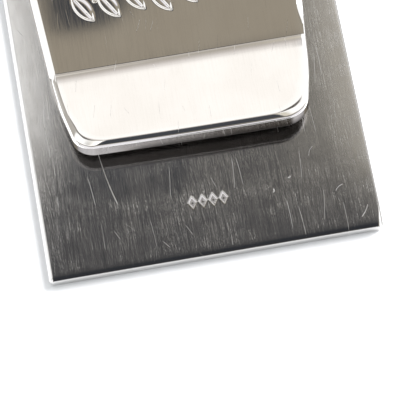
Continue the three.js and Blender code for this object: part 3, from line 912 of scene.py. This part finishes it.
def turned_piece(name, corners, body, material, closed):
    """Turns a rounded profile of (along, radius, rounding) corners round the pin's axis."""
    profile = rounded_profile(corners)
    angle = np.linspace(0, 2 * math.pi, HINGE_SIDES, endpoint=False)
    points = np.concatenate([about_pin(along, radius, angle) for along, radius in profile])
    grain = np.concatenate([np.stack([along + 0 * angle, radius * angle], axis=1)
                            for along, radius in profile])
    rings = np.arange(len(points)).reshape(len(profile), HINGE_SIDES)
    faces = []
    for first, second in zip(rings, rings[1:]):
        faces += ring_faces(first, second)
    if closed:
        faces += ring_faces(rings[-1], rings[0])
    else:
        faces += [rings[0].tolist(), rings[-1].tolist()]
    return make_piece(name, points, faces, body, material, grain)


def tongue_barrel(material):
    low, high = BARREL_LOW[0], BARREL_HIGH[0]
    corners = [(0, BARREL_BORE, 0), (low, BARREL_BORE, 0.08), (low, BARREL_RADIUS, EDGE_BREAK),
               (high, BARREL_RADIUS, EDGE_BREAK), (high, BARREL_BORE, 0.08), (0.1, BARREL_BORE, 0)]
    return turned_piece("tongue_barrel_visual", corners, "tongue_assembly", material, True)


def hinge_pin(material):
    end = PIN_HIGH[0]
    corners = [(-end, 0.02, 0), (-end, PIN_RADIUS, 0.15), (end, PIN_RADIUS, 0.15), (end, 0.02, 0)]
    return turned_piece("hinge_pin_visual", corners, "plate_assembly", material, False)


def pin_cap(side, material):
    """A shallow domed disc let into the knuckle's outer face."""
    name = "right_pin_cap" if side > 0 else "left_pin_cap"
    face = KNUCKLE_HIGH[0]
    sphere = (CAP_RADIUS ** 2 + CAP_DOME ** 2) / (2 * CAP_DOME)
    corners = [(side * CAP_LOW[0], 0.02, 0), (side * CAP_LOW[0], CAP_RADIUS, 0.05),
               (side * face, CAP_RADIUS, 0.03)]
    for radius in np.linspace(CAP_RADIUS, 0.02, 12)[1:]:
        rise = math.sqrt(sphere ** 2 - radius ** 2) - (sphere - CAP_DOME)
        corners.append((side * (face + rise), radius, 0.01))
    return turned_piece(name + "_visual", corners, "plate_assembly", material, False)


def knuckle_outline(inset):
    """Y and Z once round a knuckle: a round lug on a narrow foot that flares where it is brazed on."""
    foot_z = PLATE_TOP
    meet = math.asin(KNUCKLE_FOOT / KNUCKLE_RADIUS)
    lug = np.linspace(meet, 2 * math.pi - meet, 72)
    radius = KNUCKLE_RADIUS - inset
    lug_points = np.stack([radius * np.sin(lug), PIN_Z - radius * np.cos(lug)], axis=1)
    turn = np.linspace(0, math.pi / 2, 8)
    flare_y = KNUCKLE_FOOT + FOOT_FILLET - FOOT_FILLET * np.sin(turn) - inset
    flare_z = foot_z + FOOT_FILLET - FOOT_FILLET * np.cos(turn)
    right_foot = np.stack([flare_y, flare_z], axis=1)
    left_foot = right_foot[::-1] * (-1, 1)
    across = np.linspace(-1, 1, 9)[1:-1] * right_foot[0, 0]
    sole = np.stack([across, np.full_like(across, foot_z)], axis=1)
    outline = np.concatenate([sole, right_foot, lug_points[1:-1], left_foot])
    return outline + (PIN_Y, 0)


def knuckle(side, material):
    name = "right_knuckle" if side > 0 else "left_knuckle"
    inner, outer, seat = KNUCKLE_LOW[0], KNUCKLE_HIGH[0], CAP_LOW[0]
    base = knuckle_outline(0)
    angle = np.arctan2(base[:, 0] - PIN_Y, PIN_Z - base[:, 1])
    steps = np.linspace(0, math.pi / 2, 5)

    def circle(along, radius):
        return about_pin(along, radius, angle)

    def outline(along, inset):
        ring = knuckle_outline(inset)
        return np.column_stack([np.full(len(ring), along), ring])

    rings = [circle(inner, PIN_RADIUS + 0.01)]
    for turn in steps:
        rings.append(outline(inner + EDGE_BREAK * (1 - math.cos(turn)), EDGE_BREAK * (1 - math.sin(turn))))
    for turn in steps[::-1]:
        rings.append(outline(outer - EDGE_BREAK * (1 - math.cos(turn)), EDGE_BREAK * (1 - math.sin(turn))))
    rings += [circle(outer, SEAT_RADIUS + 0.06), circle(outer - 0.06, SEAT_RADIUS), circle(seat, SEAT_RADIUS),
              circle(seat, PIN_RADIUS + 0.01)]
    points = np.concatenate(rings)
    points[:, 0] *= side
    index = np.arange(len(points)).reshape(len(rings), len(base))
    faces = []
    for number in range(len(rings)):
        faces += ring_faces(index[number], index[(number + 1) % len(rings)])
    grain = points[:, [0, 1]]
    return make_piece(name + "_visual", points, faces, "plate_assembly", material, grain)


def finish_cad_nodes(materials):
    """The sprung insides keep their CAD shape, with their own materials and softened edges."""
    for name, slot in (("return_spring", "spring_steel"), ("fixed_bush", "brass"), ("moving_bush", "brass")):
        node = frame["nodes"][name]
        node.data.materials.clear()
        node.data.materials.append(materials[slot])
        node.data.shade_smooth()
        node.data.set_sharp_from_angle(angle=math.radians(40))


# ---- Floor, light and camera -----------------------------------------------------------------------

def floor():
    """A pale sheet, much larger than the clip, just below it.

    Its colour is painted darker far in front of the clip and behind it, a painted shade, so that it doesn't
    dazzle in the polished metal.
    """
    half = 0.8
    mesh = bpy.data.meshes.new("floor")
    mesh.from_pydata([(-half, -half, 0), (half, -half, 0), (half, half, 0), (-half, half, 0)], [],
                     [(0, 1, 2, 3)])
    material, shader = new_material("floor_paper")
    place = shader.position()
    fibre = shader.noise(place, (1.5, 1.5, 1.5), detail=4.0)
    colour = shader.mix(shader.fade(fibre, 0.3, 0.7), (0.9, 0.9, 0.9, 1), (0.93, 0.93, 0.935, 1))
    # Painted shade: the colour darkens far in front of the clip and behind it
    away = shader.fade(shader.math("ABSOLUTE", shader.separate(place)[1]), 70, 260)
    colour = shader.mix(away, colour, (0.36, 0.355, 0.35, 1))
    surface = shader.node("BsdfDiffuse", {"Color": colour})
    shader.node("OutputMaterial", {"Surface": surface}, output=None)
    mesh.materials.append(material)
    sheet = bpy.data.objects.new("floor", mesh)
    sheet.location = (0, 0, -0.02 * MM)
    bpy.context.scene.collection.objects.link(sheet)


def sky_colour(shader, along):
    share = shader.math("DIVIDE", shader.math("ADD", along, 90), 180)
    return shader.ramp(share, [((degrees + 90) / 180, colour) for degrees, colour in SKY])


def light_patches(shader, colour, across, along, beside):
    """Lays lighter and darker patches over the sky, each between degrees across and along."""
    fade, mix, times = shader.fade, shader.mix, shader.times
    back_left = times(fade(across, 4.5, 0), fade(along, 17.5, 20.5), fade(along, 31, 24))
    colour = mix(back_left, colour, (1.3, 1.29, 1.27, 1))
    sides = times(fade(beside, 12.5, 18), fade(along, 16, 20))
    colour = mix(sides, colour, (1, 1, 1, 1))
    right_panel = times(fade(across, 5.5, 9), fade(across, 20, 14), fade(along, 15, 18.5),
                        fade(along, 34, 28))
    colour = mix(right_panel, colour, (0.64, 0.6, 0.52, 1))
    upper_left = times(fade(across, -10, -16), fade(across, -78, -62), fade(along, 38, 44))
    colour = mix(upper_left, colour, (0.42, 0.4, 0.37, 1))
    right_corner = times(fade(across, 9, 12), fade(along, 24, 27), fade(along, 38, 35))
    colour = mix(right_corner, colour, (1, 1, 1, 1))
    left_rim = times(fade(across, -5, -7), fade(across, -16, -12), fade(along, 26, 34))
    right_rim = times(fade(across, 9, 11), fade(across, 18, 15), fade(along, 30, 35), fade(along, 47, 44))
    return mix(shader.math("ADD", left_rim, right_rim, clamp=True), colour, (0.1, 0.09, 0.08, 1))


def dark_card(shader, colour, across, along, beside):
    """Lays a dark card over the colour, with a sharp left part and a soft right part."""
    fade = shader.fade
    low_edge = shader.math("ADD", fade(across, 1.8, 4.2, 5.2, 8.0), fade(across, 0.35, 0.1, 0, 3))
    high_edge = shader.math("SUBTRACT", fade(across, -1.2, 0.4, 18.4, 27), fade(across, 5.2, 8.5, 0, 10.0))
    softness = fade(across, 1.8, 4.2, 0.15, 2.0)
    rise = fade(shader.math("SUBTRACT", along, low_edge), shader.times(softness, -1), softness)
    fall = fade(along, shader.math("ADD", high_edge, 1.0), shader.math("SUBTRACT", high_edge, 1.0))
    darkness = shader.mix(fade(along, 12.5, 15), (0.045, 0.049, 0.058, 1), (0.1, 0.099, 0.103, 1))
    darkness = shader.mix(fade(along, 16.8, 19), darkness, (0.046, 0.052, 0.066, 1))
    return shader.mix(shader.times(rise, fall, fade(beside, 34, 18)), colour, darkness)


def studio():
    """Surroundings that only the metal reflects: a sky with light and dark patches by direction.

    The patches are arranged for the main view. The camera sees plain white instead, and the floor
    gets an even soft light.
    """
    world = bpy.data.worlds.new("studio")
    bpy.context.scene.world = world
    world.use_nodes = True
    shader = Shader(world.node_tree)
    fade = shader.fade
    x, y, z = shader.separate(shader.node("TexCoord", output="Generated"))
    up = shader.math("MAXIMUM", z, 0.001)
    along = shader.times(shader.math("ARCTAN2", y, up), 180 / math.pi)
    across = shader.times(shader.math("ARCTAN2", x, up), 180 / math.pi)
    beside = shader.math("ABSOLUTE", shader.math("SUBTRACT", across, 4))
    colour = light_patches(shader, sky_colour(shader, along), across, along, beside)
    colour = dark_card(shader, colour, across, along, beside)
    near_front = shader.times(fade(along, -6, -9), fade(along, -20, -16))
    low_front = shader.math("ADD", fade(along, -30, -38), near_front)
    in_front = shader.times(fade(x, 0.015, 0.04), fade(x, 0.45, 0.3), low_front)
    colour = shader.mix(in_front, colour, (0.07, 0.06, 0.05, 1))
    reflected = shader.node("Background", {"Color": colour, "Strength": 1.1})
    soft = shader.node("Background", {"Color": (0.95, 0.98, 1, 1), "Strength": 0.88})
    plain = shader.node("Background", {"Color": (1, 1, 1, 1), "Strength": 1.0})
    on_floor = shader.node("LightPath", output="Is Diffuse Ray")
    seen = shader.node("LightPath", output="Is Camera Ray")
    mixed = shader.node("MixShader", {0: on_floor, 1: reflected, 2: soft})
    mixed = shader.node("MixShader", {0: seen, 1: mixed, 2: plain})
    shader.node("OutputWorld", {"Surface": mixed}, output=None)


def key_light():
    """A large soft light on the right, behind the camera's view, that lights the floor."""
    light = bpy.data.lights.new("key", "AREA")
    light.shape = "DISK"
    light.size = 0.45
    light.energy = 6.5
    lamp = bpy.data.objects.new("key", light)
    place = Vector((0.36, 0.2, 0.42))
    lamp.location = place
    lamp.rotation_euler = (-place).to_track_quat("-Z", "Y").to_euler()
    lamp.visible_glossy = False
    bpy.context.scene.collection.objects.link(lamp)


def camera():
    made = bpy.data.cameras.new("camera")
    made.sensor_width = 36
    made.lens = CAMERA_LENS
    made.clip_start = 0.001
    made.clip_end = 10
    forward = (CAMERA_AIM - CAMERA_PLACE).normalized()
    level_right = forward.cross(Vector((0, 1, 0))).normalized()
    level_up = level_right.cross(forward)
    up = level_up * math.cos(CAMERA_ROLL) + level_right * math.sin(CAMERA_ROLL)
    right = forward.cross(up)
    eye = bpy.data.objects.new("camera", made)
    turned = Matrix((right, up, -forward)).transposed().to_4x4()
    eye.matrix_world = Matrix.Translation(CAMERA_PLACE * MM) @ turned
    bpy.context.scene.collection.objects.link(eye)
    bpy.context.scene.camera = eye


# ---- Scene -----------------------------------------------------------------------------------------

camera()
studio()
key_light()
floor()
bpy.context.scene.view_settings.view_transform = "Standard"
makers = (satin_steel, polished_steel, turned_steel, spring_steel, brass)
materials = {make.__name__: make() for make in makers}
base_plate(materials["satin_steel"])
tongue(materials["polished_steel"])
tongue_barrel(materials["turned_steel"])
hinge_pin(materials["turned_steel"])
for side in (-1, 1):
    knuckle(side, materials["turned_steel"])
    pin_cap(side, materials["polished_steel"])
finish_cad_nodes(materials)
